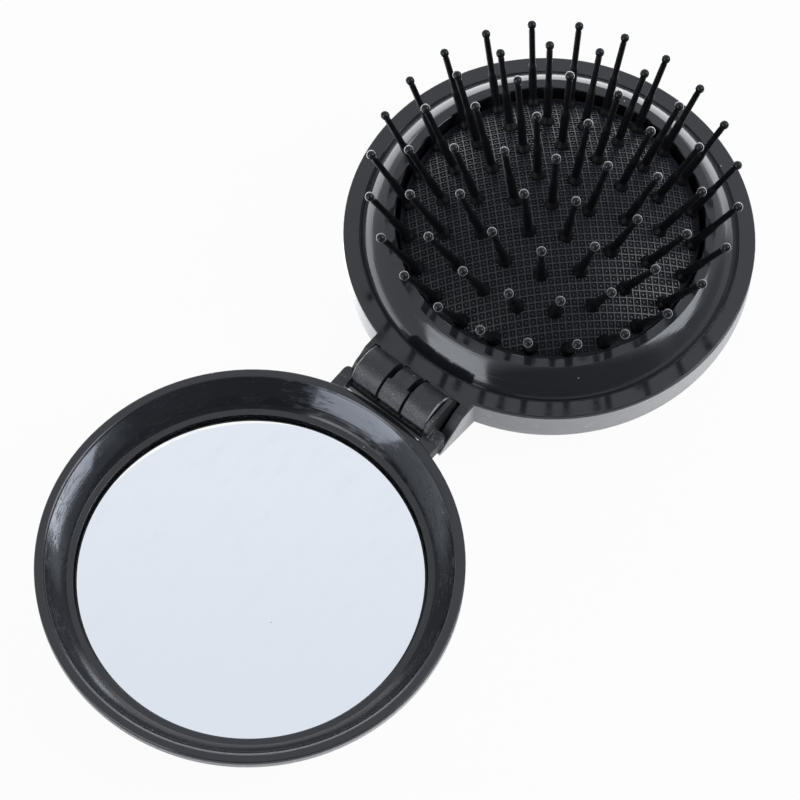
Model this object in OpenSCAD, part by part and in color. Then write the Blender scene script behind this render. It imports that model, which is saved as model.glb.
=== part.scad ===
// Folding pocket hairbrush with mirror: two round halves on a clip hinge.
// Frame: +X towards the brush half, -X towards the mirror half, the hinge runs along Y through x = 0,
// and z = 0 is the plane that both backs rest on when the compact lies open.

/* [Case] */
// Outer radius of each round half
rim_r = 34; // [30:0.5:40]
// Gap between the two rims, across the hinge
rim_gap = 8.6; // [8.2:0.1:12]
// Height of each half, from its back to its rim
case_h = 13; // [12.4:0.2:18]
// Wall of the two outer shells
shell_wall = 1.3; // [1:0.1:2]
// Thickness of the black frames' flange, which lies on the shell's edge
flange_t = 0.9; // [0.7:0.1:1.5]
// Gap left between the two rims when the compact is shut
shut_gap = 0.3; // [0.2:0.05:0.8]
// Depth of the brush shell's upright wall below the skirt, where the rounded corner starts
upright_h = 1.4; // [0.5:0.1:3]
// Depth at which the mirror shell's wall starts to taper
mirror_wall_h = 2; // [1.2:0.1:3]
// Taper of the mirror shell's wall, in degrees
mirror_taper = 27; // [15:1:28]
// Radius of the mirror shell's lower corner
mirror_corner_r = 6; // [4:0.5:8]
// Diameter of the thumb opening in the brush shell's back
thumb_d = 30; // [22:1:38]
// Play between a frame's skirt and its shell
skirt_play = 0.1; // [0.05:0.05:0.3]
// Depth of the frames' skirts inside the shells
skirt_h = 3.2; // [2:0.2:4]
// Radius of the rounded edges of the two rims
edge_r = 0.2; // [0.1:0.05:0.4]

/* [Brush frame] */
// Width of the flat rim of the brush frame
brush_rim_w = 2.8; // [2:0.1:4]
// Drop of the fine step inside the flat rim, and the radius of its edge
step_drop = 0.2; // [0.1:0.05:0.5]
// Width of the fine step
step_w = 0.1; // [0.05:0.05:0.5]
// Width of the flat lip between the shoulder's top and the opening
lip_w = 1.7; // [1.2:0.1:2]
// Radius of the lip's inner edge
lip_edge_r = 0.3; // [0.1:0.05:0.6]
// Height of the shoulder above the rim
shoulder_h = 4.1; // [2:0.1:5.4]
// How far the shoulder bulges over its chord, as a share of its width
shoulder_bulge = 0.1; // [0.02:0.01:0.3]
// Gap round the cushion in its opening
lip_play = 0.6; // [0.3:0.1:1]
// Wall of the guide tube below the edge
tube_wall = 1.1; // [0.8:0.1:1.5]

/* [Cushion] */
// Outer radius of the rubber cushion
cushion_r = 24.8; // [20:0.1:26]
// Height of the cushion's crown above the rim
crown_h = 9.6; // [6:0.1:12]
// Height of the dome's edge above the rim
dome_edge_h = 2; // [0.5:0.1:4]
// Thickness of the rubber
rubber_t = 1.5; // [1:0.1:2]
// Thickness of the flange clamped below the guide tube
bead_t = 1.4; // [1:0.1:2]

/* [Bristles] */
// Diameter of the ball at each tip
ball_d = 1.55; // [1.2:0.05:2]
// Diameter of the slender upper stem
stem_d = 1.05; // [0.8:0.05:1.2]
// Diameter of the thick lower stem
root_d = 1.4; // [1.2:0.05:1.6]
// Diameter of the flared foot
foot_d = 2.3; // [1.8:0.1:2.6]
// Height of the flared foot
foot_h = 0.9; // [0.5:0.1:1.5]
// Gap between a foot and the rubber that it stands on
foot_gap = 0.25; // [0.2:0.05:0.4]
// Radius of ring 1 at the feet, as a share of the cushion's radius
ring_1_share = 0.246; // [0.2:0.002:0.28]
// Radius of ring 2 at the feet, as a share of the cushion's radius
ring_2_share = 0.496; // [0.45:0.002:0.52]
// Radius of ring 3 at the feet, as a share of the cushion's radius
ring_3_share = 0.722; // [0.69:0.002:0.76]
// Radius of ring 4 at the feet, as a share of the cushion's radius
ring_4_share = 0.943; // [0.91:0.001:0.945]
// Outward lean of ring 1, in degrees
ring_1_lean = 8.6; // [4:0.2:10]
// Outward lean of ring 2, in degrees
ring_2_lean = 15.4; // [10:0.2:18]
// Outward lean of ring 3, in degrees
ring_3_lean = 22; // [16:0.2:23]
// Outward lean of ring 4, in degrees
ring_4_lean = 24.6; // [20:0.2:26]
// Length of the middle bristle, from foot to ball centre
centre_len = 14.3; // [12:0.1:14.6]
// Length of the ring 1 bristles, from foot to ball centre
ring_1_len = 14.9; // [12:0.1:15]
// Length of the other bristles, from foot to ball centre
bristle_len = 15.4; // [13:0.1:15.5]

/* [Mirror] */
// Width of the flat rim of the mirror frame
mirror_rim_w = 1.5; // [1:0.1:3]
// Radius of the rim's edge towards the dished slope
dish_edge_r = 0.4; // [0.2:0.1:0.6]
// Width of the dished slope
dish_w = 3.3; // [2.5:0.1:4]
// Depth of the dished slope below the rim
dish_h = 4.9; // [4:0.1:5.5]
// How far the slope curves in from its chord
dish_sag = 0.4; // [0.2:0.1:0.5]
// Width of the ledge between the slope and the glass pocket
ledge_w = 1.05; // [0.8:0.05:2]
// Depth of the glass face below the rim
glass_drop = 6.05; // [5.6:0.05:6.4]
// Thickness of the glass
glass_t = 1.8; // [1.2:0.1:2.2]
// Width of the ground bevel round the glass
glass_bevel = 0.35; // [0.2:0.05:0.6]
// Thickness of the adhesive pad behind the glass
tape_t = 0.5; // [0.3:0.1:1]
// How far the adhesive pad stays inside the glass's edge
tape_inset = 2; // [0.5:0.5:6]
// Wall of the frame's floor behind the glass
floor_t = 1.2; // [0.8:0.1:1.6]
// Radial play round the glass
glass_play = 0.15; // [0.05:0.05:0.3]

/* [Hinge] */
// Outer diameter of the clip barrels
barrel_d = 7.4; // [6.4:0.1:8]
// Diameter of the hinge pin
pin_d = 2.5; // [2:0.1:3]
// Radius of the rounded ends of the barrels
barrel_edge_r = 0.4; // [0.2:0.05:0.6]
// Radial clearance of the barrels on the pin
pin_play = 0.05; // [0.02:0.01:0.1]
// Width of the barrels' snap mouths
mouth_w = 2; // [1.6:0.1:2.2]
// Direction of the snap mouths, in degrees from the brush half
mouth_angle = 184; // [176:2:212]
// Width of the lug that carries the barrels
lug_w = 20.2; // [19.2:0.1:24]
// Width of the cheek beside the left ear, on the +Y side
left_cheek_w = 0.95; // [0.6:0.05:1.2]
// Width of the cheek beside the right ear, on the -Y side
right_cheek_w = 1.65; // [1.4:0.05:1.8]
// Open slot between the right ear and its cheek
right_slot_w = 0.5; // [0.3:0.05:0.7]
// Width of the tongue's head
tongue_w = 4.3; // [3:0.1:5]
// Width of the right barrel
right_barrel_w = 4.7; // [4:0.1:5.5]
// Narrow gap between the tongue's head and its neighbours
tongue_gap = 0.45; // [0.25:0.05:0.6]
// How far the slots widen into the tongue's neck
neck_cut = 0.6; // [0.3:0.05:0.8]
// Distance past the hinge axis to where the slots widen
neck_x = 0.8; // [0.2:0.1:1.4]
// Distance from the slots' ends to the edge of the rim
slot_end_play = 0.1; // [0.1:0.1:0.6]
// Side play between the barrels, the ears and the cheeks
ear_play = 0.15; // [0.1:0.05:0.3]
// Thickness of the left ear
left_ear_t = 0.85; // [0.6:0.05:1]
// Radius of the left ear
left_ear_r = 2.1; // [1.9:0.1:3]
// Thickness of the right ear
right_ear_t = 0.75; // [0.6:0.05:1.2]
// Radius of the right ear
right_ear_r = 3.9; // [2.2:0.1:4]
// Height of the flat on top of the right ear, above the hinge axis
right_ear_top = 2.7; // [2:0.1:3]
// Thickness of the mirror frame's lugs
mirror_lug_t = 2.4; // [1.8:0.1:2.6]
// Distance from the hinge axis to the ends of the mirror frame's lugs
mirror_lug_x = 1.6; // [1.4:0.1:2.6]
// How far the mirror frame's lugs reach past the sides of the brush half's lug
mirror_lug_over = 0.2; // [0:0.05:0.4]
// Radius of the outer corners of the mirror frame's lugs
mirror_lug_corner = 0.9; // [0.4:0.1:1.2]
// Drop of the mirror frame's lugs below its rim
mirror_lug_drop = 0.15; // [0.05:0.05:0.4]
// Width of the bevel on the mirror's rim beside the barrels
rim_bevel_w = 1; // [0.4:0.1:1.4]
// Distance from the hinge axis to where the cheeks start to slope
cheek_top_x = 2.7; // [2:0.1:3.5]
// Distance past the hinge axis to the tips of the cheeks
cheek_tip_x = 2.9; // [2:0.1:3.2]
// Drop of the cheeks' slope below the rim
cheek_drop = 3.9; // [3.6:0.1:4.6]
// Width of the bar that joins the cheeks at their tips
tip_w = 0.7; // [0.5:0.05:0.8]
// Depth of the shell's lug below the rim, at its tip
lug_tip_h = 5.4; // [5.2:0.1:6]
// Depth of the shell's lug below the rim, at the wall
lug_root_h = 7.2; // [6:0.1:8]

/* [Hidden] */
$fn = 96;

half_pitch = rim_r + rim_gap / 2;
axis_z = case_h + shut_gap / 2;

// Brush half, heights from its rim
step_r = rim_r - brush_rim_w - step_w;
lip_r = cushion_r + lip_play;
tube_r = lip_r + tube_wall;
shoulder_r = lip_r + lip_w;
shell_in_r = rim_r - shell_wall;
skirt_r = shell_in_r - skirt_play;
skirt_t = 1;
lip_t = 1.6;
under_h = 1.2;
under_share = 0.68;
under_r = tube_r + under_share * (step_r - tube_r);
floor_h = case_h - shell_wall;
brush_corner_r = case_h - skirt_h - upright_h;

// The cushion's flange stands on the floor, or on the rounded corner where it reaches that far
bead_play = 0.1;
bead_r = tube_r - bead_play;
bead_reach = max(0, bead_r - rim_r + brush_corner_r);
corner_in_r = brush_corner_r - shell_wall;
bead_lift = corner_in_r - sqrt(corner_in_r * corner_in_r - bead_reach * bead_reach) + bead_play;
tube_bottom_h = floor_h - bead_lift - bead_t;

// Mirror half, depths from its rim
dish_r = rim_r - mirror_rim_w - dish_w;
pocket_r = dish_r - ledge_w;
glass_r = pocket_r - glass_play;
pocket_h = glass_drop + glass_t + tape_t;

// Cushion: the dome's sphere goes through the crown and the dome's edge
dome_rise = crown_h - dome_edge_h;
dome_r = (cushion_r * cushion_r + dome_rise * dome_rise) / (2 * dome_rise);
function dome_h(r) = crown_h - dome_r + sqrt(dome_r * dome_r - r * r);

// Hinge, positions along Y from the lug's sides inwards
lug_y = lug_w / 2;
ear_l_out = lug_y - left_cheek_w - ear_play;
ear_l_in = ear_l_out - left_ear_t;
cheek_r_y = right_cheek_w - lug_y;
ear_r_out = cheek_r_y + right_slot_w;
ear_r_in = ear_r_out + right_ear_t;
barrel_l_y = ear_l_in - ear_play;
barrel_r_y = ear_r_in + ear_play;
barrels_w = barrel_l_y - barrel_r_y;
tongue_r_y = barrel_r_y + right_barrel_w + tongue_gap;
tongue_l_y = tongue_r_y + tongue_w;
barrel_r = barrel_d / 2;
mirror_lug_y = lug_y + mirror_lug_over;
mirror_lug_embed = 3;
mirror_lug_root_x = rim_gap / 2 + mirror_lug_embed;
lug_embed = 4;
lug_root_x = rim_gap / 2 + lug_embed;
slot_end_x = rim_gap / 2 - slot_end_play;
rim_bevel_h = 0.75 * flange_t;

// Bristles: where the stem thins, as a share of its length, and over what height
knee_share = 0.45;
taper_h = 1.2;

// Points of an arc from p to q that bulges by s to the left of the line from p to q
function chord_arc(p, q, s, n = 14) =
    let (d = q - p, c = norm(d), r = c * c / (8 * s) + s / 2,
         m = (p + q) / 2, u = [-d[1], d[0]] / c, o = m - u * (r - s),
         a = asin(c / 2 / r), base = atan2(u[1], u[0]))
    [for (i = [0:n]) o + r * [cos(base + a - 2 * a * i / n), sin(base + a - 2 * a * i / n)]];

// The rounded edge from p to q, where two faces meet at a right angle
function round_edge(p, q, n = 4, side = -1) = chord_arc(p, q, side * norm(q - p) * (sqrt(2) - 1) / 2, n);

// Half profile of a shell h deep, moved in by w: an upright wall down to s, a wall tapered by t degrees, and
// a corner that runs into the flat back
function shell_profile(r, h, s, t, corner, w, n = 16) =
    let (cx = r - (corner - sin(t) * (corner + s - h)) / cos(t))
    concat([[0, 0], [r - w, 0], [r - w, w * tan(t / 2) - s]],
           [for (i = [0:n]) let (a = -t - (90 - t) * i / n)
               [cx + (corner - w) * cos(a), corner - h + (corner - w) * sin(a)]],
           [[0, w - h]]);

module at_brush() { translate([half_pitch, 0, case_h]) children(); }
module at_mirror() { translate([-half_pitch, 0, case_h]) children(); }
module at_axis() { translate([0, 0, axis_z]) children(); }

// A solid with an outline in X and Z, from y0 to y1
module prism_y(y0, y1) {
    translate([0, y1, 0]) rotate([90, 0, 0]) linear_extrude(y1 - y0) children();
}

// A round bar along the hinge axis, from y0 to y1
module bar_y(r, y0, y1) {
    at_axis() prism_y(y0, y1) circle(r);
}

// ---- Brush half ----

module brush_shell_outline(w) {
    polygon(shell_profile(rim_r, case_h, case_h - brush_corner_r, 0, brush_corner_r, w));
}

module shell_body(r) {
    rotate_extrude() difference() {
        intersection() {
            children(0);
            translate([0, -case_h]) square([r, case_h - flange_t]);
        }
        children(1);
    }
}

// Side view of the shell's lug, which closes the hinge's underside
module shell_lug_outline() {
    polygon([[lug_root_x, -flange_t], [cheek_top_x, -flange_t], [-cheek_tip_x, -cheek_drop - flange_t],
             [-cheek_tip_x, -lug_tip_h], [lug_root_x, -lug_root_h]]);
}

// Side view of the pocket that the barrels and ears turn in
module lug_pocket_outline() {
    polygon([[lug_root_x + 1, 1], [-rim_gap, 1], [-rim_gap, -cheek_drop - flange_t],
             [shell_wall - cheek_tip_x, -cheek_drop - flange_t],
             [shell_wall - cheek_tip_x, shell_wall - lug_tip_h],
             [lug_root_x + 1, shell_wall - lug_root_h]]);
}

module brush_shell() {
    color([0.86, 0.86, 0.87]) difference() {
        union() {
            at_brush() shell_body(rim_r) {
                brush_shell_outline(0);
                brush_shell_outline(shell_wall);
            }
            difference() {
                translate([0, 0, case_h]) prism_y(-lug_y, lug_y) shell_lug_outline();
                at_brush() cylinder(r = shell_in_r + shell_wall / 2, h = 4 * case_h, center = true);
            }
        }
        translate([0, 0, case_h]) prism_y(shell_wall - lug_y, lug_y - shell_wall) lug_pocket_outline();
        at_brush() translate([0, 0, -case_h - 1]) cylinder(d = thumb_d, h = shell_wall + 2);
    }
}

module brush_rim_outline() {
    bulge = shoulder_bulge * (step_r - shoulder_r);
    rim_in_r = rim_r - brush_rim_w;
    polygon(concat(
        [[skirt_r, -flange_t], [rim_r, -flange_t]],
        round_edge([rim_r, -edge_r], [rim_r - edge_r, 0]),
        round_edge([rim_in_r + step_drop, 0], [rim_in_r, -step_drop]),
        chord_arc([step_r, -step_drop], [shoulder_r, shoulder_h], -bulge),
        round_edge([lip_r + lip_edge_r, shoulder_h], [lip_r, shoulder_h - lip_edge_r], 6),
        [[lip_r, -tube_bottom_h], [tube_r, -tube_bottom_h], [tube_r, shoulder_h - lip_t],
         [under_r, -step_drop - under_h], [skirt_r - skirt_t, -step_drop - under_h],
         [skirt_r - skirt_t, -skirt_h], [skirt_r, -skirt_h]]));
}

// The sloping flange beside the barrels
module cheek(y0, y1) {
    translate([0, 0, case_h]) prism_y(y0, y1)
        polygon([[lug_root_x, 0], [cheek_top_x, 0], [-cheek_tip_x, -cheek_drop],
                 [-cheek_tip_x, -cheek_drop - flange_t], [cheek_top_x, -flange_t], [lug_root_x, -flange_t]]);
}

// The bar that joins the cheeks along the lug's tip, and its key between the walls of the shell's lug
module lug_tip() {
    rise = tip_w * cheek_drop / (cheek_tip_x + cheek_top_x);
    in_y = lug_y - shell_wall - skirt_play;
    translate([-cheek_tip_x, 0, case_h - cheek_drop]) {
        prism_y(-lug_y, lug_y) polygon([[0, 0], [tip_w, rise], [tip_w, rise - flange_t], [0, -flange_t]]);
        prism_y(-in_y, in_y) translate([0, -flange_t]) square([shell_wall, flange_t]);
    }
}

// The three barrels as one bar with rounded ends
module barrels() {
    f = barrel_edge_r;
    at_axis() translate([0, barrel_l_y, 0]) rotate([90, 0, 0]) rotate_extrude()
        polygon(concat([[0, 0]],
                       round_edge([barrel_r - f, 0], [barrel_r, f]),
                       round_edge([barrel_r, barrels_w - f], [barrel_r - f, barrels_w]),
                       [[0, barrels_w]]));
}

// The cut beside the tongue, from y0 outwards to y1, which widens into the tongue's neck
module slot(y0, y1) {
    neck_y = y0 - sign(y1 - y0) * neck_cut;
    translate([-rim_gap, min(y0, y1), 0]) cube([rim_gap + slot_end_x, tongue_gap, 2 * case_h]);
    translate([-neck_x, min(neck_y, y1), 0]) cube([slot_end_x + neck_x, tongue_gap + neck_cut, 2 * case_h]);
}

module brush_hinge() {
    difference() {
        union() {
            translate([rim_gap / 2, -lug_y, case_h - flange_t])
                cube([lug_root_x - rim_gap / 2, lug_w, flange_t]);
            cheek(ear_l_out + ear_play, lug_y);
            cheek(-lug_y, cheek_r_y);
            barrels();
            translate([pin_d / 2, barrel_r_y, axis_z - barrel_r])
                cube([lug_root_x - pin_d / 2, barrels_w, case_h - axis_z + barrel_r]);
        }
        at_brush() cylinder(r = skirt_r - skirt_t / 2, h = 4 * case_h, center = true);
        bar_y(pin_d / 2 + pin_play, -lug_w, lug_w);
        at_axis() prism_y(barrel_r_y - 1, barrel_l_y + 1)
            rotate(mouth_angle) translate([0, -mouth_w / 2]) square([rim_gap, mouth_w]);
        slot(tongue_l_y, tongue_l_y + tongue_gap);
        slot(tongue_r_y, tongue_r_y - tongue_gap);
    }
}

module brush_frame() {
    color([0.1, 0.1, 0.11]) union() {
        at_brush() rotate_extrude() brush_rim_outline();
        brush_hinge();
        lug_tip();
    }
}

// The cushion: a domed cap whose skirt stands on the shell's floor
module cushion() {
    color([0.09, 0.09, 0.1]) at_brush() rotate_extrude() {
        difference() {
            intersection() {
                translate([0, crown_h - dome_r]) circle(dome_r, $fn = 240);
                translate([0, -tube_bottom_h]) square([cushion_r, case_h + crown_h + floor_h]);
            }
            translate([0, crown_h - dome_r]) circle(dome_r - rubber_t, $fn = 240);
            translate([0, -case_h]) square([cushion_r - rubber_t, case_h + dome_edge_h - rubber_t]);
        }
        translate([cushion_r - rubber_t, -tube_bottom_h - bead_t]) {
            square([bead_r - cushion_r + rubber_t, bead_t]);
            square([rubber_t, bead_t + tube_bottom_h + dome_edge_h - rubber_t / 8]);
        }
    }
}

// One bristle, standing on the origin
module bristle(len) {
    knee_h = len * knee_share;
    translate([0, 0, foot_gap]) rotate_extrude($fn = 20)
        polygon([[0, 0], [foot_d / 2, 0], [root_d / 2, foot_h], [root_d / 2, knee_h],
                 [stem_d / 2, knee_h + taper_h], [stem_d / 2, len - foot_gap], [0, len - foot_gap]]);
    translate([0, 0, len]) sphere(d = ball_d, $fn = 20);
}

// A ring of bristles whose feet stand on the dome at a share of the cushion's radius
module bristle_ring(count, at, lean, len) {
    r = at * cushion_r;
    color([0.08, 0.08, 0.09]) at_brush()
        for (i = [0:count - 1])
            rotate(360 * i / count) translate([r, 0, dome_h(r)]) rotate([0, lean, 0]) bristle(len);
}

// ---- Mirror half ----

module mirror_back_outline(w) {
    polygon(shell_profile(rim_r, case_h, mirror_wall_h, mirror_taper, mirror_corner_r, w));
}

// The notch that a lug of the mirror frame passes through
module lug_notch(y0, y1) {
    translate([-mirror_lug_root_x, y0 - skirt_play, case_h - mirror_lug_drop - mirror_lug_t - skirt_play])
        cube([mirror_lug_root_x, y1 - y0 + 2 * skirt_play, 2 * mirror_lug_t]);
}

module mirror_shell() {
    color([0.9, 0.9, 0.91]) difference() {
        at_mirror() shell_body(rim_r) {
            mirror_back_outline(0);
            mirror_back_outline(shell_wall);
        }
        lug_notch(ear_l_in, mirror_lug_y);
        lug_notch(-mirror_lug_y, ear_r_in);
    }
}

// What the dish and the glass pocket take out of the mirror frame
module dish_outline() {
    f = dish_edge_r;
    slope = chord_arc([rim_r - mirror_rim_w, 0], [dish_r, -dish_h], dish_sag);
    polygon(concat([[0, 1], [rim_r - mirror_rim_w + f, 1]],
                   chord_arc([rim_r - mirror_rim_w + f, 0], slope[1], -f * (sqrt(2) - 1) / 2, 6),
                   [for (i = [2:len(slope) - 1]) slope[i]],
                   [[pocket_r, -dish_h], [pocket_r, -pocket_h], [0, -pocket_h]]));
}

module mirror_rim_outline() {
    difference() {
        union() {
            polygon(concat([[0, -flange_t], [rim_r, -flange_t]],
                           round_edge([rim_r, -edge_r], [rim_r - edge_r, 0]), [[0, 0]]));
            intersection() {
                mirror_back_outline(shell_wall + skirt_play);
                translate([0, -pocket_h - floor_t]) square([rim_r, pocket_h + floor_t]);
            }
        }
        dish_outline();
    }
}

module mirror_lug(y_in, y_out) {
    f = mirror_lug_corner;
    side = sign(y_out - y_in);
    translate([0, 0, case_h - mirror_lug_drop - mirror_lug_t]) linear_extrude(mirror_lug_t)
        polygon(concat([[-mirror_lug_root_x, y_in], [-mirror_lug_x, y_in]],
                       round_edge([-mirror_lug_x, y_out - side * f], [-mirror_lug_x - f, y_out], 8, -side),
                       [[-mirror_lug_root_x, y_out]]));
}

// An ear round the hinge axis, cut flat at a height above the axis, on an arm from the mirror's rim
module mirror_ear(r, top, y0, y1) {
    at_axis() prism_y(y0, y1) intersection() {
        circle(r);
        translate([-r, top - 2 * r]) square(2 * r);
    }
    translate([-rim_gap / 2, y0, case_h - mirror_lug_drop - mirror_lug_t])
        cube([rim_gap / 2, y1 - y0, mirror_lug_t]);
}

// The bevel on the rim beside the barrels
module rim_bevel() {
    translate([-rim_gap / 2, 0, case_h]) prism_y(ear_r_in, ear_l_in)
        polygon([[-rim_bevel_w, 0], [0, -rim_bevel_h], [1, -rim_bevel_h], [1, 1], [-rim_bevel_w, 1]]);
}

module mirror_frame() {
    color([0.1, 0.1, 0.11]) difference() {
        union() {
            at_mirror() rotate_extrude() mirror_rim_outline();
            difference() {
                union() {
                    mirror_lug(ear_l_in, mirror_lug_y);
                    mirror_lug(ear_r_in, -mirror_lug_y);
                }
                at_mirror() translate([0, 0, -case_h]) cylinder(r = rim_r - mirror_rim_w, h = 2 * case_h);
            }
            mirror_ear(left_ear_r, left_ear_r, ear_l_in, ear_l_out);
            mirror_ear(right_ear_r, right_ear_top, ear_r_out, ear_r_in);
        }
        rim_bevel();
        bar_y(pin_d / 2, ear_r_out - 1, ear_l_out + 1);
    }
}

module mirror_tape() {
    color([0.85, 0.85, 0.8]) at_mirror() translate([0, 0, -glass_drop - glass_t - tape_t])
        cylinder(r = glass_r - tape_inset, h = tape_t);
}

module mirror_glass() {
    color([0.8, 0.86, 0.9]) at_mirror() translate([0, 0, -glass_drop - glass_t])
        rotate_extrude() polygon([[0, 0], [glass_r, 0], [glass_r, glass_t - glass_bevel],
                                  [glass_r - glass_bevel, glass_t], [0, glass_t]]);
}

module hinge_pin() {
    color([0.14, 0.14, 0.15]) bar_y(pin_d / 2, ear_r_out, ear_l_out);
}

brush_shell();
brush_frame();
cushion();
bristle_ring(1, 0, 0, centre_len);  // bristle_centre
bristle_ring(6, ring_1_share, ring_1_lean, ring_1_len);  // bristle_ring_1
bristle_ring(12, ring_2_share, ring_2_lean, bristle_len);  // bristle_ring_2
bristle_ring(18, ring_3_share, ring_3_lean, bristle_len);  // bristle_ring_3
bristle_ring(24, ring_4_share, ring_4_lean, bristle_len);  // bristle_ring_4
mirror_shell();
mirror_frame();
mirror_tape();
mirror_glass();
hinge_pin();
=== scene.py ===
"""Looks of the folding pocket hairbrush: camera, soft light, the rubber cushion with its net texture, the outer
bristles, the foam pad, and a procedural material for every piece. Metres, in the frame of the CAD model."""
import math
import random

import bpy
from mathutils import Matrix, Vector


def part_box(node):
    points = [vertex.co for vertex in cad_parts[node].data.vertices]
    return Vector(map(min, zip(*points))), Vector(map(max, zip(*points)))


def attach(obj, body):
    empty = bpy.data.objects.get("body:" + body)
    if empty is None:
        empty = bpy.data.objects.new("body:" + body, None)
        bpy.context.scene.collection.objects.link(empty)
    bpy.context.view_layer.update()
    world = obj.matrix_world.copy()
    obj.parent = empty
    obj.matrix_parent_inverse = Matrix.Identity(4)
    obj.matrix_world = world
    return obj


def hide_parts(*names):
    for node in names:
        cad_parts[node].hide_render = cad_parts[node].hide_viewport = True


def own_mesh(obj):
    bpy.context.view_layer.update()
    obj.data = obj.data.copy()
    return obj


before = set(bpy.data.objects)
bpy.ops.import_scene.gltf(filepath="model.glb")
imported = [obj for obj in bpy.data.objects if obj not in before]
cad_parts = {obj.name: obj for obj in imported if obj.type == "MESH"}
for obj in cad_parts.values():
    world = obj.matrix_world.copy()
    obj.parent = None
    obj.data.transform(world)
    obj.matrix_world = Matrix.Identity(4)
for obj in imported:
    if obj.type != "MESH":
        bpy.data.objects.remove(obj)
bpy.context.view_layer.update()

rng = random.Random(11)
MM = 0.001

# ---- Camera -------------------------------------------------------------------------------------

# Solved from the two rim circles in the photograph.
TARGET = Vector((-0.0013209, -0.0004349, 0.013))
AZIMUTH, ELEVATION, ROLL = math.radians(-52.033), math.radians(63.126), math.radians(1.207)
DISTANCE = 0.59416
LENS = 166.07


def camera_axes():
    """Right, up and back of the camera in the frame of the object."""
    back = Vector((math.sin(AZIMUTH) * math.cos(ELEVATION), -math.cos(AZIMUTH) * math.cos(ELEVATION),
                   math.sin(ELEVATION)))
    right = Vector((math.cos(AZIMUTH), math.sin(AZIMUTH), 0))
    up = back.cross(right)
    c, s = math.cos(ROLL), math.sin(ROLL)
    return c * right + s * up, c * up - s * right, back


def make_camera():
    data = bpy.data.cameras.new("camera")
    data.sensor_width = 36
    data.lens = LENS
    data.clip_start, data.clip_end = 0.01, 20
    cam = bpy.data.objects.new("camera", data)
    bpy.context.scene.collection.objects.link(cam)
    right, up, back = camera_axes()
    turn = Matrix((right, up, back)).transposed().to_4x4()
    cam.matrix_world = Matrix.Translation(TARGET + back * DISTANCE) @ turn
    bpy.context.scene.camera = cam


make_camera()
bpy.context.scene.view_settings.view_transform = "Standard"

# ---- Measures taken from the CAD boxes ----------------------------------------------------------

BRUSH_X = sum(c[0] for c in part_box("cushion")) / 2
MIRROR_X = sum(c[0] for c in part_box("mirror_glass")) / 2
GLASS_R = (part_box("mirror_glass")[1][0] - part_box("mirror_glass")[0][0]) / 2
CUSHION_LOW, CUSHION_TOP = (c[2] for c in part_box("cushion"))
AXIS_Z = sum(c[2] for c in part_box("hinge_pin")) / 2

# Sizes of the solids in part.scad that no box gives.
RIM_Z = 13 * MM
BARREL_R = 3.7 * MM
CUSHION_R = 24.8 * MM
BALL_R = 0.775 * MM
DOME_EDGE_H = 2 * MM
DOME_RISE = CUSHION_TOP - RIM_Z - DOME_EDGE_H
DOME_R = (CUSHION_R ** 2 + DOME_RISE ** 2) / (2 * DOME_RISE)


def dome_z(r, sink=0.0):
    """Height of the dome's surface at radius r from the brush axis, sunk by that much."""
    radius = DOME_R - sink
    return CUSHION_TOP - DOME_R + math.sqrt(radius ** 2 - min(r, radius) ** 2)


# ---- Node helpers -------------------------------------------------------------------------------


class Nodes:
    """A node tree and short ways to add nodes to it."""

    def __init__(self, tree):
        self.nodes, self.links = tree.nodes, tree.links

    def put(self, socket, value):
        if isinstance(value, bpy.types.NodeSocket):
            self.links.new(value, socket)
        else:
            socket.default_value = value

    def add(self, kind, inputs, **settings):
        """New node with those settings. The inputs are given by place or name."""
        node = self.nodes.new(kind)
        for key, value in settings.items():
            setattr(node, key, value)
        for key, value in inputs.items():
            self.put(node.inputs[key], value)
        return node

    def math(self, op, a, b=0.0, c=0.0):
        return self.add("ShaderNodeMath", {0: a, 1: b, 2: c}, operation=op).outputs[0]

    def product(self, first, *others):
        for value in others:
            first = self.math("MULTIPLY", first, value)
        return first

    def total(self, first, *others):
        for value in others:
            first = self.math("ADD", first, value)
        return first

    def length(self, a, b):
        """Length of the flat vector (a, b)."""
        return self.math("SQRT", self.total(self.product(a, a), self.product(b, b)))

    def toward(self, a, b, way):
        """How far the point (a, b) lies in that direction."""
        return self.total(self.product(a, way[0]), self.product(b, way[1]))

    def vector(self, op, a, b=(0, 0, 0)):
        node = self.add("ShaderNodeVectorMath", {0: a, 1: b}, operation=op)
        return node.outputs["Value" if op in ("DOT_PRODUCT", "LENGTH") else "Vector"]

    def ramp(self, value, low, high, to_low=0.0, to_high=1.0, kind="SMOOTHSTEP"):
        """Smooth map of value from low..high to to_low..to_high, level outside."""
        places = dict(enumerate((value, low, high, to_low, to_high)))
        return self.add("ShaderNodeMapRange", places, interpolation_type=kind).outputs[0]

    def below(self, value, limit, fade):
        """1 where value is under limit, and 0 from limit + fade on."""
        return self.ramp(value, limit, limit + fade, 1, 0)

    def blend(self, fac, a, b):
        """Mix of two shaders."""
        return self.add("ShaderNodeMixShader", {0: fac, 1: a, 2: b}).outputs[0]


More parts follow.
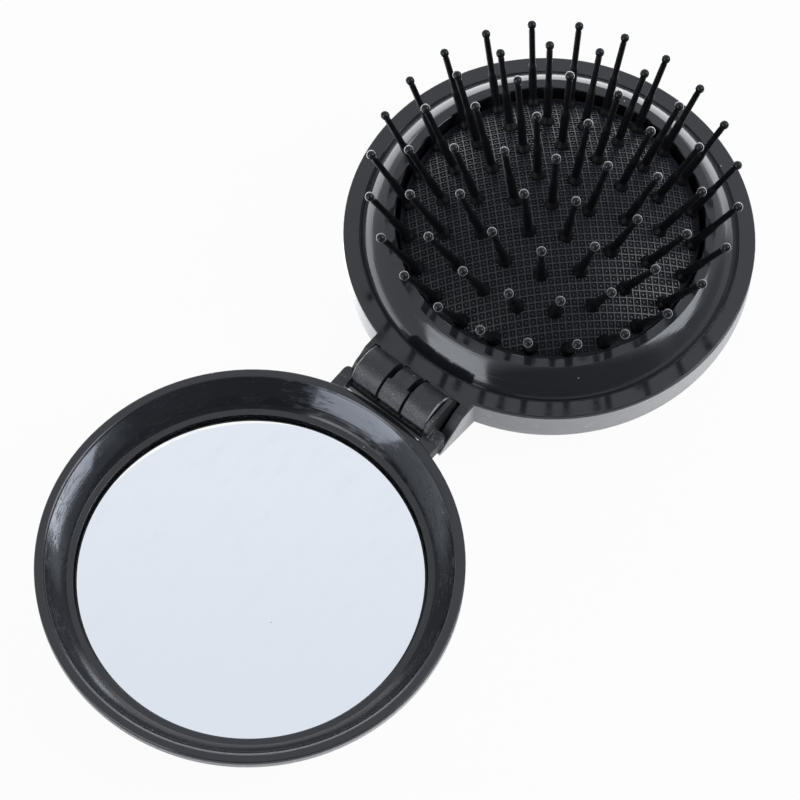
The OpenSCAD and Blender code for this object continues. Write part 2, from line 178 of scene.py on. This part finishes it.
class Shader(Nodes):
    """A material and short ways to add its nodes. Places are in metres, in the frame of the object."""

    def __init__(self, name):
        self.mat = bpy.data.materials.new(name)
        self.mat.use_nodes = True
        super().__init__(self.mat.node_tree)
        self.bsdf = self.nodes["Principled BSDF"]
        self.coords = self.nodes.new("ShaderNodeTexCoord").outputs["Object"]

    def set(self, **values):
        for key, value in values.items():
            self.put(self.bsdf.inputs[key.replace("_", " ")], value)

    def axes(self):
        return self.add("ShaderNodeSeparateXYZ", {0: self.coords}).outputs

    def combine(self, x, y, z):
        return self.add("ShaderNodeCombineXYZ", {0: x, 1: y, 2: z}).outputs[0]

    def around(self, across, y):
        """Distance from the middle of a half, and angle round it."""
        return self.length(across, y), self.math("ARCTAN2", y, across)

    def noise(self, scale, detail=3.0, rough=0.55, vector=None, distortion=0.0):
        """Soft noise about 0.5, with that many waves to the metre or to the unit of the vector."""
        values = {"Vector": vector or self.coords, "Scale": scale, "Detail": detail, "Roughness": rough,
                  "Distortion": distortion}
        return self.add("ShaderNodeTexNoise", values).outputs["Fac"]

    def stretched(self, scale, turn=(0, 0, 0)):
        """Coordinates turned and scaled, for streaks."""
        return self.add("ShaderNodeMapping", {"Vector": self.coords, "Scale": scale, "Rotation": turn}).outputs[0]

    def specks(self, scale, size, share):
        """1 on small round specks, one in that share of the cells of that scale."""
        cells = self.add("ShaderNodeTexVoronoi", {"Vector": self.coords, "Scale": scale})
        spot = self.ramp(cells.outputs["Distance"], size * 0.6, size, 1, 0)
        colour = self.add("ShaderNodeSeparateColor", {0: cells.outputs["Color"]})
        return self.product(spot, self.math("GREATER_THAN", colour.outputs[0], 1 - share))

    def normal(self):
        return self.nodes.new("ShaderNodeNewGeometry").outputs["Normal"]

    def turned(self, axis):
        """Size of the normal's part along axis 0, 1 or 2."""
        return self.math("ABSOLUTE", self.add("ShaderNodeSeparateXYZ", {0: self.normal()}).outputs[axis])

    def mix(self, fac, a, b):
        """Mix of two colours."""
        a, b = (v if isinstance(v, bpy.types.NodeSocket) else (*v, 1) for v in (a, b))
        node = self.add("ShaderNodeMix", {}, data_type="RGBA")
        for key, value in (("Factor", fac), ("A", a), ("B", b)):
            self.put(node.inputs[key], value)
        return node.outputs["Result"]

    def painted(self, base, *layers):
        """The base colour with layers of (cover, colour) over it, the last on top."""
        for cover, colour in layers:
            base = self.mix(cover, base, colour)
        return base

    def mix_normals(self, fac, a, b):
        return self.add("ShaderNodeMix", {0: fac, 4: a, 5: b}, data_type="VECTOR").outputs[1]

    def bump(self, height, strength, distance, normal=None):
        node = self.add("ShaderNodeBump", {"Strength": strength, "Distance": distance, "Height": height})
        if normal is not None:
            self.put(node.inputs["Normal"], normal)
        return node.outputs[0]

    def bevel(self, radius):
        return self.add("ShaderNodeBevel", {"Radius": radius}, samples=6).outputs[0]

    def glow(self, strength):
        return self.add("ShaderNodeEmission", {"Strength": strength}).outputs[0]


# ---- Materials ----------------------------------------------------------------------------------

AWAY = (0.79, 0.62)         # Direction in plan from the photograph's viewer to the object, fixed in the object.
# The pale line at the glass's edge is a painted highlight.
HIGHLIGHT_WAY = (0.53, 0.85)     # From the glass's middle to the widest part of the pale line at its edge.
HINGE_HALF_W = 10.3 * MM    # The hinge's reach to each side, with its ears.
DISH_OUT_R = 32.5 * MM      # Where the slope of the mirror's dish ends, at the rim.
# The shading of the dish leans outwards by a bump as high as -(DISH_LEAN + DISH_CURVE * d) * d, d below the rim.
DISH_LEAN, DISH_CURVE = 40, 30000


def black_gloss(name):
    """Glossy black moulding: smears and wipe marks that run round each half, dust, a duller, scuffed hinge, and a
    painted glint on the barrels' end edges.
    """
    s = Shader(name)
    x, y, z = s.axes()
    radius, angle = s.around(s.math("SUBTRACT", s.math("ABSOLUTE", x), BRUSH_X), y)

    # Places.
    dish = s.product(s.below(x, -6 * MM, 0.5 * MM), s.below(radius, DISH_OUT_R, 0.3 * MM))
    near = s.toward(s.math("SUBTRACT", x, MIRROR_X), y, (-AWAY[0], -AWAY[1]))
    calm = s.below(near, 8 * MM, 14 * MM)
    hinge = s.product(s.below(s.math("ABSOLUTE", y), HINGE_HALF_W, 0.9 * MM),
                      s.below(x, 3.6 * MM, 1.2 * MM), s.ramp(x, -4.5 * MM, -3.6 * MM))
    reach = s.length(x, s.math("SUBTRACT", z, AXIS_Z))
    mirror_side = s.ramp(x, -2.6 * MM, -0.8 * MM, 1, 0.1)
    worn = s.product(hinge, s.below(reach, BARREL_R + 0.1 * MM, 0.1 * MM), mirror_side)
    endward = s.turned(1)
    barrel_edge = s.product(s.ramp(reach, BARREL_R - 0.45 * MM, BARREL_R - 0.3 * MM),
                            s.ramp(endward, 0.3, 0.45), s.below(endward, 0.82, 0.11))

    # Marks, and the painted glint.
    long_arcs = s.combine(s.product(angle, 3.2), s.product(radius, 800),
                          s.math("MULTIPLY_ADD", z, 800, s.product(x, 40)))
    short_arcs = s.combine(s.product(angle, 15), s.product(radius, 2400), s.product(z, 2400))
    smear = s.noise(1, 4, 0.62, long_arcs, 0.5)
    wiped = s.product(s.ramp(s.noise(1, 4, 0.65, short_arcs, 0.8), 0.5, 0.6), dish, calm,
                      s.ramp(s.noise(190, 2), 0.42, 0.58, 0.15, 1))
    scratch = s.product(s.ramp(s.noise(140, 3), 0.57, 0.66), s.ramp(s.noise(2100, 3, 0.6), 0.56, 0.64), dish, calm)
    dust = s.specks(420, 0.055, 0.13)
    scuff = s.product(worn, s.ramp(s.noise(5200, 2, 0.6), 0.54, 0.62), s.ramp(s.noise(700, 3), 0.4, 0.54))
    # Painted glint: a broken pale line on the rounded end edges of the barrels.
    painted_glint = s.product(hinge, barrel_edge, s.ramp(s.noise(800, 2), 0.35, 0.5, 0.25, 1))

    plain = s.mix(s.noise(170, 4), (0.0138, 0.0152, 0.019), (0.0185, 0.0202, 0.0248))
    base = s.painted(plain, (s.product(hinge, 0.8), (0.0075, 0.008, 0.0095)), (scuff, (0.26, 0.26, 0.27)),
                     (painted_glint, (0.3, 0.3, 0.3)), (dust, (0.5, 0.5, 0.5)))
    rough = s.total(s.ramp(smear, 0.42, 0.72, 0.09, 0.2), s.product(hinge, 0.34),
                    s.product(s.total(scuff, dust, scratch), 0.3), s.product(wiped, 0.26))
    s.set(Base_Color=base, Roughness=rough, Specular_IOR_Level=0.52, Specular_Tint=(0.88, 0.92, 1, 1))

    edges = s.bevel(0.16 * MM)
    depth = s.math("SUBTRACT", RIM_Z, z)
    steep = s.bump(s.product(depth, s.math("MULTIPLY_ADD", depth, -DISH_CURVE, -DISH_LEAN)), 1, 1 * MM, edges)
    leaning = s.mix_normals(s.product(dish, s.math("MULTIPLY_ADD", calm, 0.7, 0.3)), edges, steep)
    height = s.total(s.product(s.noise(3600, 2), s.math("MULTIPLY_ADD", hinge, 0.5, 0.02)),
                     s.product(s.total(dust, scuff), 0.6))
    s.set(Normal=s.bump(height, 0.35, 0.04 * MM, leaning))
    return s.mat


def pale_shell(name):
    """Satin pearl shell with a faint mottle, rougher worn spots, and painted shade on the lug under the barrels."""
    s = Shader(name)
    x, y, z = s.axes()
    rub = s.ramp(s.noise(340, 5, 0.65), 0.55, 0.8)
    # Painted shade: the lug's top under the barrels, which lies in shadow, is painted nearly black.
    painted_shade = s.product(s.below(s.math("ABSOLUTE", x), 3.1 * MM, 0.3 * MM),
                      s.below(s.math("ABSOLUTE", y), 8.8 * MM, 0.4 * MM), s.ramp(z, 7.2 * MM, 7.5 * MM))
    plain = s.mix(s.noise(60, 3), (0.61, 0.615, 0.635), (0.645, 0.65, 0.667))
    base = s.painted(plain, (s.specks(380, 0.05, 0.06), (0.32, 0.31, 0.3)), (painted_shade, (0.02, 0.02, 0.021)))
    s.set(Base_Color=base, Roughness=s.math("MULTIPLY_ADD", rub, 0.12, 0.24), Specular_IOR_Level=0.5)
    s.set(Normal=s.bump(s.noise(5200, 2), 0.12, 0.03 * MM, s.bevel(0.12 * MM)))
    return s.mat


RUBBER_TINT = (0.8, 0.98, 1.4)


def rubber(name, low, high, rough, dusty, gloss_level, foot_dark=0.0):
    """Bluish black rubber between two shades, with a dusty bloom. Painted light makes it paler down the cushion's side,
    which lies in shade, and by foot_dark it is darker on the bosses at the bristles' feet."""
    s = Shader(name)
    x, y, z = s.axes()
    bloom = s.ramp(s.noise(420, 5, 0.62), 0.42, 0.75)
    from_centre = s.vector("LENGTH", s.vector("SUBTRACT", s.coords, (BRUSH_X, 0, CUSHION_TOP - DOME_R)))
    boss = s.ramp(from_centre, DOME_R - 0.17 * MM, DOME_R - 0.08 * MM, 0, foot_dark)
    # Painted light: the cushion's side, which lies in shade by the lip, is painted paler.
    side = s.ramp(s.length(s.math("SUBTRACT", x, BRUSH_X), y), CUSHION_R - 1 * MM, CUSHION_R - 0.2 * MM)
    plain = s.mix(bloom, *(tuple(shade * part for part in RUBBER_TINT) for shade in (low, high)))
    base = s.painted(plain, (s.specks(450, 0.045, dusty), (0.35, 0.35, 0.35)), (boss, (0.0022, 0.0023, 0.0027)),
                     (side, (0.03, 0.033, 0.039)))
    s.set(Base_Color=base, Roughness=s.math("MULTIPLY_ADD", bloom, 0.14, rough), Specular_IOR_Level=gloss_level)
    s.set(Normal=s.bump(s.noise(6500, 3), 0.3, 0.03 * MM))
    return s.mat


SPREAD = 16.8    # A bristle that stands r metres from the brush's axis leans by about SPREAD * r.


def nylon(name, tip_z):
    """Satin nylon bristle, drawn lengthwise, with a glossy ball about tip_z that has a painted highlight round its
    outline.
    """
    s = Shader(name)
    x, y, z = s.axes()
    ball = s.ramp(z, tip_z - 0.85 * MM, tip_z - 0.6 * MM)
    streak = s.noise(2600, 3, 0.6, s.stretched((1, 1, 0.12)))
    facing = s.add("ShaderNodeLayerWeight", {"Blend": 0.5}).outputs["Facing"]
    stem = s.combine(s.product(s.math("SUBTRACT", x, BRUSH_X), SPREAD), s.product(y, SPREAD), 1.0)
    upper = s.ramp(s.vector("DOT_PRODUCT", s.normal(), s.vector("NORMALIZE", stem)), -0.3, 0.05)
    # Painted highlight: a pale ring round the upper part of the ball's outline.
    outline = s.product(ball, upper, s.ramp(facing, 0.45, 0.72))
    plain = s.mix(streak, (0.0028, 0.0029, 0.0034), (0.0058, 0.006, 0.0068))
    base = s.painted(plain, (s.product(ball, 0.6), (0.02, 0.021, 0.024)), (outline, (0.42, 0.44, 0.47)))
    rough = s.math("SUBTRACT", s.math("MULTIPLY_ADD", streak, 0.2, 0.36), s.product(ball, 0.34))
    s.set(Base_Color=base, Roughness=rough, Specular_IOR_Level=0.19, Specular_Tint=(0.9, 0.94, 1, 1))
    s.set(Normal=s.bump(streak, 0.12, 0.03 * MM))
    return s.mat


# Width of the painted highlight line inside the glass's edge, and how much more it has on its wide side.
HIGHLIGHT_THIN, HIGHLIGHT_MORE = 0.28 * MM, 0.7 * MM


def silvered(name):
    """Silvered glass with a ground edge, a broken pale line inside it as a painted highlight, a painted reflection
    that is paler on the far side, dust grains and a faint wiped film.
    """
    s = Shader(name)
    x, y, z = s.axes()
    across = s.math("SUBTRACT", x, MIRROR_X)
    radius, angle = s.around(across, y)
    film = s.ramp(s.noise(130, 4, 0.6, s.stretched((1, 2.5, 1), (0, 0, 0.7))), 0.45, 0.8)
    edge = s.below(s.turned(2), 0.8, 0.15)
    wide = s.ramp(s.math("DIVIDE", s.toward(across, y, HIGHLIGHT_WAY), radius), 0.7, 1)
    width = s.math("MULTIPLY_ADD", wide, HIGHLIGHT_MORE, HIGHLIGHT_THIN)
    streak = s.noise(1, 3, 0.6, s.combine(s.product(angle, 9), s.product(radius, 6000), 0.0))
    # Painted highlight: a broken pale line just inside the glass's edge, wider on one side.
    line = s.product(s.below(s.math("DIVIDE", s.math("SUBTRACT", GLASS_R, radius), width), 0.8, 0.2),
                     s.ramp(streak, 0.38, 0.5, 0.2, 1))
    # Painted reflection: the glass is paler on its far side.
    far = s.ramp(s.toward(across, y, AWAY), -26 * MM, 26 * MM)
    plain = s.mix(far, (0.71, 0.767, 0.833), (0.756, 0.808, 0.882))
    base = s.painted(plain, (s.product(film, 0.5), (0.7, 0.755, 0.826)), (line, (0.985, 0.99, 1)),
                     (s.specks(260, 0.035, 0.1), (0.1, 0.11, 0.12)), (edge, (0.93, 0.96, 0.97)))
    rough = s.total(s.math("MULTIPLY_ADD", film, 0.01, 0.012), s.product(edge, 0.4))
    s.set(Base_Color=base, Metallic=1, Roughness=rough)
    s.set(Normal=s.bump(s.noise(5000, 2), 0.01, 0.01 * MM))
    return s.mat


def foam(name):
    """Pale closed-cell foam."""
    s = Shader(name)
    cells = s.noise(2400, 3, 0.7)
    base = s.mix(cells, (0.7, 0.69, 0.64), (0.86, 0.85, 0.8))
    s.set(Base_Color=base, Roughness=0.85, Normal=s.bump(cells, 0.6, 0.12 * MM))
    return s.mat


def acetal(name):
    """Satin black acetal rod with turning marks round it, whose axis is Y."""
    s = Shader(name)
    rings = s.noise(3000, 4, 0.6, s.stretched((0.05, 1, 0.05)))
    s.set(Base_Color=s.mix(rings, (0.012, 0.012, 0.013), (0.024, 0.024, 0.026)), Specular_IOR_Level=0.45,
          Roughness=s.math("MULTIPLY_ADD", rings, 0.2, 0.3), Normal=s.bump(rings, 0.15, 0.02 * MM))
    return s.mat


def dress(node, material):
    """Gives a CAD node one material."""
    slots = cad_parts[node].data.materials
    for i in range(len(slots)):
        slots[i] = material
    if not len(slots):
        slots.append(material)


gloss = black_gloss("black_gloss_plastic")
shell = pale_shell("pearl_shell_plastic")
dress("brush_frame", gloss)
dress("mirror_frame", gloss)
dress("brush_shell", shell)
dress("mirror_shell", shell)
dress("mirror_glass", silvered("silvered_glass"))
dress("hinge_pin", acetal("black_acetal_pin"))
for ring in ("bristle_centre", "bristle_ring_1", "bristle_ring_2", "bristle_ring_3"):
    dress(ring, nylon(ring + "_nylon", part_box(ring)[1][2] - BALL_R))

# ---- Mesh helpers -------------------------------------------------------------------------------

ON_AXIS = 1e-7
SHARP_ANGLE = math.radians(38)


class Build:
    """Vertices and faces of one piece."""

    def __init__(self):
        self.verts = []
        self.faces = []

    def add(self, verts, faces):
        start = len(self.verts)
        self.verts.extend(verts)
        self.faces.extend([tuple(start + i for i in f) for f in faces])

    def lathe(self, profile, turn, segments):
        """Closed solid from a closed profile of (radius, height), placed by turn. Points on the axis are shared."""
        rings, verts = [], []
        for r, h in profile:
            if r < ON_AXIS:
                rings.append([len(verts)] * segments)
                verts.append(turn @ Vector((0, 0, h)))
            else:
                rings.append(list(range(len(verts), len(verts) + segments)))
                for k in range(segments):
                    a = 2 * math.pi * k / segments
                    verts.append(turn @ Vector((r * math.cos(a), r * math.sin(a), h)))
        faces = []
        back_to_start = rings[:1] if profile[0][0] > ON_AXIS else []
        for low, high in zip(rings, rings[1:] + back_to_start):
            for k in range(segments):
                n = (k + 1) % segments
                face = []
                for i in (low[k], low[n], high[n], high[k]):
                    if i not in face:
                        face.append(i)
                if len(face) > 2:
                    faces.append(tuple(face))
        self.add(verts, faces)

    def done(self, name, material, body, smooth=True):
        """The finished object, riding on that body."""
        mesh = bpy.data.meshes.new(name)
        mesh.from_pydata([tuple(v) for v in self.verts], [], self.faces)
        mesh.validate()
        mesh.materials.append(material)
        obj = bpy.data.objects.new(name, mesh)
        bpy.context.scene.collection.objects.link(obj)
        if smooth:
            mesh.shade_smooth()
            mesh.set_sharp_from_angle(angle=SHARP_ANGLE)
        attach(obj, body)
        return obj


def arc(cx, cz, r, start, end, n):
    """Points of an arc in the profile plane, from start to end degrees."""
    return [(cx + r * math.cos(math.radians(start + (end - start) * i / n)),
             cz + r * math.sin(math.radians(start + (end - start) * i / n))) for i in range(n + 1)]


# ---- Cushion ------------------------------------------------------------------------------------

RELIEF = 0.2 * MM      # How far the net stands out.
PITCH = 1.15 * MM
LINE_W = 0.3 * MM
STUD_W = 0.42 * MM
NET_R = 24.1 * MM
RUBBER = 1.5 * MM      # Thickness of the cap.
FLANGE_R, FLANGE_T = 26.4 * MM, 1.4 * MM
EDGE_R = 0.7 * MM      # Rounding between dome and side.
# Outline (radius, height) in mm of the rubber boss round a bristle's foot.
BOSS = [(0, -0.4), (1.24, -0.4), (1.24, 0.02), (1.2, 0.1), (1.14, 0.24), (0, 0.24)]
STUD_GAP = 1.3 * MM    # No stud stands nearer than this to the middle of a foot.
# Bristles in each ring, and the ring's radius in mm.
RINGS = {"bristle_centre": (1, 0.0), "bristle_ring_1": (6, 6.1), "bristle_ring_2": (12, 12.3),
         "bristle_ring_3": (18, 17.9), "bristle_ring_4": (24, 23.39)}
rubber_mat = rubber("cushion_rubber", 0.009, 0.016, 0.55, 0.06, 0.12, 1.0)
net_mat = rubber("cushion_net_rubber", 0.014, 0.0255, 0.32, 0.12, 0.42)


def cushion_profile():
    """The cap's closed outline: dome, rounded edge, side, flange and inside."""
    n = 40
    dome_r = CUSHION_R * 0.972
    top = [(dome_r * i / n, dome_z(dome_r * i / n, RELIEF)) for i in range(n + 1)]
    top += arc(CUSHION_R - EDGE_R, top[-1][1] - EDGE_R, EDGE_R, 62, 0, 6)
    low, ledge = CUSHION_LOW, CUSHION_LOW + FLANGE_T
    inner_r = CUSHION_R - RUBBER
    side = [(CUSHION_R, ledge + 0.3 * MM), (CUSHION_R + 0.3 * MM, ledge), (FLANGE_R - 0.1 * MM, ledge),
            (FLANGE_R, ledge - 0.1 * MM), (FLANGE_R, low + 0.05 * MM), (FLANGE_R - 0.05 * MM, low), (inner_r, low)]
    inside = [(inner_r, dome_z(inner_r, RUBBER) - 0.6 * MM)]
    inside += [(inner_r * (1 - i / n), dome_z(inner_r * (1 - i / n), RUBBER)) for i in range(1, n + 1)]
    return top + side + inside


SUNK = 1.5 * RELIEF    # The net's pieces reach into the cap.


def net_bar(build, offset, direction, top):
    """One fine raised line across the dome, parallel to direction, at that offset from the middle."""
    side = Vector((-direction.y, direction.x, 0))
    half = math.sqrt(max(NET_R ** 2 - offset ** 2, 0))
    steps = max(2, int(2 * half / (1.3 * MM)))
    verts, faces = [], []
    for i in range(steps + 1):
        along = -half + 2 * half * i / steps
        for across, sink in ((-LINE_W / 2, SUNK), (-LINE_W * 0.26, top), (LINE_W * 0.26, top), (LINE_W / 2, SUNK)):
            p = direction * along + side * (offset + across)
            verts.append(Vector((BRUSH_X + p.x, p.y, dome_z(p.length, sink))))
    for i in range(steps):
        a, b = 4 * i, 4 * i + 4
        faces += [(a + k, b + k, b + (k + 1) % 4, a + (k + 1) % 4) for k in range(4)]
    last = 4 * steps
    faces += [(0, 1, 2, 3), (last + 3, last + 2, last + 1, last)]
    build.add(verts, faces)


def stud(build, centre, d1, d2):
    """The small raised square in one mesh of the net."""
    verts = []
    for half, sink in ((STUD_W / 2, SUNK), (STUD_W * 0.3, 0.1 * RELIEF)):
        for a, b in ((-1, -1), (1, -1), (1, 1), (-1, 1)):
            p = centre + d1 * (half * a) + d2 * (half * b)
            verts.append(Vector((BRUSH_X + p.x, p.y, dome_z(p.length, sink))))
    faces = [(3, 2, 1, 0), (4, 5, 6, 7)] + [(k, (k + 1) % 4, 4 + (k + 1) % 4, 4 + k) for k in range(4)]
    build.add(verts, faces)


def feet():
    """The place of every bristle's foot from the brush's axis, and its distance."""
    for count, r in RINGS.values():
        for i in range(count):
            a = 2 * math.pi * i / count
            yield Vector((r * MM * math.cos(a), r * MM * math.sin(a), 0)), r * MM


def on_dome(p, r):
    """Placement that stands on the dome at p, upright to its surface."""
    up = Vector((p.x, p.y, math.sqrt(DOME_R ** 2 - r * r))).normalized()
    turn = Vector((0, 0, 1)).rotation_difference(up).to_matrix().to_4x4()
    return Matrix.Translation(Vector((BRUSH_X + p.x, p.y, dome_z(r)))) @ turn


def make_cushion():
    cap = Build()
    cap.lathe(cushion_profile()[::-1], Matrix.Translation((BRUSH_X, 0, 0)), 144)
    boss = [(r * MM, h * MM) for r, h in BOSS]
    for p, r in feet():
        cap.lathe(boss, on_dome(p, r), 20)
    obj = cap.done("cushion_cap", rubber_mat, "brush")
    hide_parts("cushion")
    return obj


def make_net():
    net = Build()
    d1 = Vector((math.sqrt(0.5), math.sqrt(0.5), 0))
    d2 = Vector((-math.sqrt(0.5), math.sqrt(0.5), 0))
    reach = int(NET_R / PITCH)
    for direction, top in ((d1, 0.0), (d2, 0.12 * RELIEF)):
        for i in range(-reach, reach + 1):
            net_bar(net, i * PITCH, direction, top)
    taken = list(feet())
    for i in range(-reach - 1, reach + 1):
        for j in range(-reach - 1, reach + 1):
            centre = d1 * ((i + 0.5) * PITCH) + d2 * ((j + 0.5) * PITCH)
            if centre.length < NET_R - LINE_W and all((centre - p).length > STUD_GAP for p, r in taken):
                stud(net, centre, d1, d2)
    obj = net.done("cushion_net", net_mat, "brush", smooth=False)
    return obj


cushion = make_cushion()
cushion_net = make_net()

# ---- Outer bristles -----------------------------------------------------------------------------

OUTER_COUNT, OUTER_R = RINGS["bristle_ring_4"]
OUTER_LEAN = math.radians(24.6)
OUTER_LEN = 15.4 * MM
# In mm: outline of the foot, radius of the root and of the stem, and the length in which one becomes the other.
FOOT = [(0, 0.25), (1.05, 0.25), (1.15, 0.32), (1.12, 0.42), (0.92, 0.75), (0.76, 1.05), (0.7, 1.35)]
ROOT_R, STEM_R, KNEE_H = 0.7, 0.525, 1.2


def bristle_profile():
    """Foot, thick root, knee, slender stem and ball, from the foot's underside to the tip."""
    length, ball = OUTER_LEN / MM, BALL_R / MM
    knee = length * 0.45
    pts = FOOT + [(ROOT_R, knee)]
    pts += [(ROOT_R - (ROOT_R - STEM_R) * (3 * t * t - 2 * t ** 3), knee + KNEE_H * t) for t in (0.2, 0.4, 0.6, 0.8, 1)]
    neck = length - math.sqrt(ball ** 2 - STEM_R ** 2)
    pts += [(STEM_R, neck - 0.15), (STEM_R + 0.015, neck - 0.03)]
    start = math.degrees(math.atan2(neck - length, STEM_R)) + 4
    pts += arc(0, length, ball, start, 90, 12)[:-1] + [(0, length + ball)]
    return [(r * MM, h * MM) for r, h in pts]


def make_outer_bristles():
    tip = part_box("bristle_ring_4")[1][2] - BALL_R
    material = nylon("bristle_ring_4_nylon", tip)
    profile = bristle_profile()
    pieces = []
    for i in range(OUTER_COUNT):
        a = 2 * math.pi * i / OUTER_COUNT
        radial = Vector((math.cos(a), math.sin(a), 0))
        foot = Vector((BRUSH_X, 0, dome_z(OUTER_R * MM))) + radial * (OUTER_R * MM)
        turn = Matrix.Translation(foot) @ Matrix.Rotation(a, 4, "Z") @ Matrix.Rotation(OUTER_LEAN, 4, "Y")
        one = Build()
        one.lathe(profile, turn, 20)
        obj = one.done("outer_bristle_%02d" % (i + 1), material, "bristle_ring_4")
        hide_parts("bristle_ring_4")
        pieces.append((obj, radial, foot))
    return pieces


outer_bristles = make_outer_bristles()

# ---- Foam pad behind the glass ------------------------------------------------------------------


def make_foam():
    low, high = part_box("mirror_tape")
    r = (high.x - low.x) / 2 - 0.08 * MM
    pad = Build()
    soft = 0.1 * MM
    profile = [(0, low.z), (r - soft, low.z), (r, low.z + soft), (r, high.z - soft), (r - soft, high.z), (0, high.z)]
    pad.lathe(profile, Matrix.Translation((MIRROR_X, 0, 0)), 120)
    wavy = []
    for v in pad.verts:
        out = Vector((v.x - MIRROR_X, v.y, 0))
        pull = 0.05 * MM * (math.sin(7 * math.atan2(out.y, out.x)) + rng.uniform(-0.3, 0.3)) - 0.06 * MM
        wavy.append(v + (out.normalized() * pull if out.length > r * 0.9 else Vector()))
    pad.verts = wavy
    obj = pad.done("foam_pad", foam("foam_pad_foam"), "mirror")
    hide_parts("mirror_tape")


make_foam()

# ---- Floor, backdrop and light ------------------------------------------------------------------

FLOOR_HALF, FLOOR_DROP = 6, 0.02 * MM
FLOOR_SEEN = 0.955      # Share of plain white in what the camera sees, the rest is the floor with its shadow.
GLOW_ALL, GLOW_FAR = 0.3, 2.5


def make_floor():
    """Matt floor, nearly white to the camera. Reflected rays see it glow behind the object and dim before it."""
    corners = [(x * FLOOR_HALF, y * FLOOR_HALF, 0) for x, y in ((-1, -1), (1, -1), (1, 1), (-1, 1))]
    mesh = bpy.data.meshes.new("floor")
    mesh.from_pydata(corners, [], [(0, 1, 2, 3)])
    floor = bpy.data.objects.new("floor", mesh)
    bpy.context.scene.collection.objects.link(floor)
    floor.location.z = -FLOOR_DROP
    s = Shader("floor_white")
    s.set(Base_Color=(0.6, 0.6, 0.61, 1), Roughness=0.9, Specular_IOR_Level=0.1)
    rays = s.nodes.new("ShaderNodeLightPath").outputs
    x, y, z = s.axes()
    before = s.ramp(s.math("SUBTRACT", s.product(x, -0.5), y), -45 * MM, 0, kind="LINEAR")
    lit = s.blend(s.product(rays["Is Glossy Ray"], before, 0.5), s.bsdf.outputs[0], s.glow(0))
    seen = s.blend(s.product(rays["Is Camera Ray"], FLOOR_SEEN), lit, s.glow(1))
    behind = s.math("SUBTRACT", 1, before)
    more = s.glow(s.product(rays["Is Glossy Ray"], s.math("MULTIPLY_ADD", behind, GLOW_FAR, GLOW_ALL)))
    both = s.add("ShaderNodeAddShader", {0: seen, 1: more}).outputs[0]
    s.put(s.nodes["Material Output"].inputs["Surface"], both)
    mesh.materials.append(s.mat)


def compass(azimuth, elevation):
    """Unit vector. Azimuth is measured from +X towards +Y, both in degrees."""
    a, e = math.radians(azimuth), math.radians(elevation)
    return Vector((math.cos(a) * math.cos(e), math.sin(a) * math.cos(e), math.sin(e)))


def make_world():
    """A room that is dim at the front. Plain white to the camera and through glass."""
    world = bpy.data.worlds.new("studio")
    bpy.context.scene.world = world
    world.use_nodes = True
    s = Nodes(world.node_tree)
    s.nodes.clear()
    looked_in = s.nodes.new("ShaderNodeTexCoord").outputs["Generated"]

    def lobe(azimuth, elevation, low, high, dim, full):
        """Strength full, but dim about that direction."""
        dot = s.vector("DOT_PRODUCT", looked_in, tuple(compass(azimuth, elevation)))
        return s.ramp(dot, low, high, full, dim)

    def shade(dim, full):
        half_dim = 0.5 * (dim + full) - 0.15 * full
        return s.math("MINIMUM", lobe(233, 12, 0.6, 0.8, dim, full), lobe(298, -8, 0.75, 0.9, half_dim, full))

    def background(strength, color=(1, 1, 1, 1)):
        return s.add("ShaderNodeBackground", {"Color": color, "Strength": strength}).outputs[0]

    rays = s.nodes.new("ShaderNodeLightPath").outputs
    clear = s.math("MAXIMUM", rays["Is Camera Ray"], rays["Is Transmission Ray"])
    room = s.blend(rays["Is Glossy Ray"], background(shade(0.12, 0.55), (0.93, 0.96, 1, 1)),
                   background(shade(0.17, 1)))
    s.add("ShaderNodeOutputWorld", {"Surface": s.blend(clear, room, background(1))})


LAMP_DISTANCE = 0.9


def soft_box(name, azimuth, elevation, roll, width, height, power):
    """A rectangular lamp that faces the object, turned by roll degrees."""
    data = bpy.data.lights.new(name, "AREA")
    data.shape = "RECTANGLE"
    data.size, data.size_y = width, height
    data.energy = power
    lamp = bpy.data.objects.new(name, data)
    bpy.context.scene.collection.objects.link(lamp)
    away = compass(azimuth, elevation)
    lamp.location = away * LAMP_DISTANCE
    turn = away.to_track_quat("Z", "Y").to_matrix() @ Matrix.Rotation(math.radians(roll), 3, "Z")
    lamp.rotation_euler = turn.to_euler()
    return lamp


make_floor()
make_world()
soft_box("box_right", azimuth=307, elevation=41, roll=14, width=0.56, height=0.52, power=4.8)
front = soft_box("box_front", azimuth=172, elevation=24, roll=16, width=0.5, height=0.7, power=5.2)
front.visible_diffuse = False
soft_box("box_back", azimuth=38, elevation=20, roll=0, width=1.2, height=0.4, power=4.2)

# ---- Own meshes of the soft pieces --------------------------------------------------------------

for piece in (cushion, cushion_net):
    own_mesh(piece)
for piece, radial, foot in outer_bristles:
    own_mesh(piece)

bpy.context.view_layer.update()
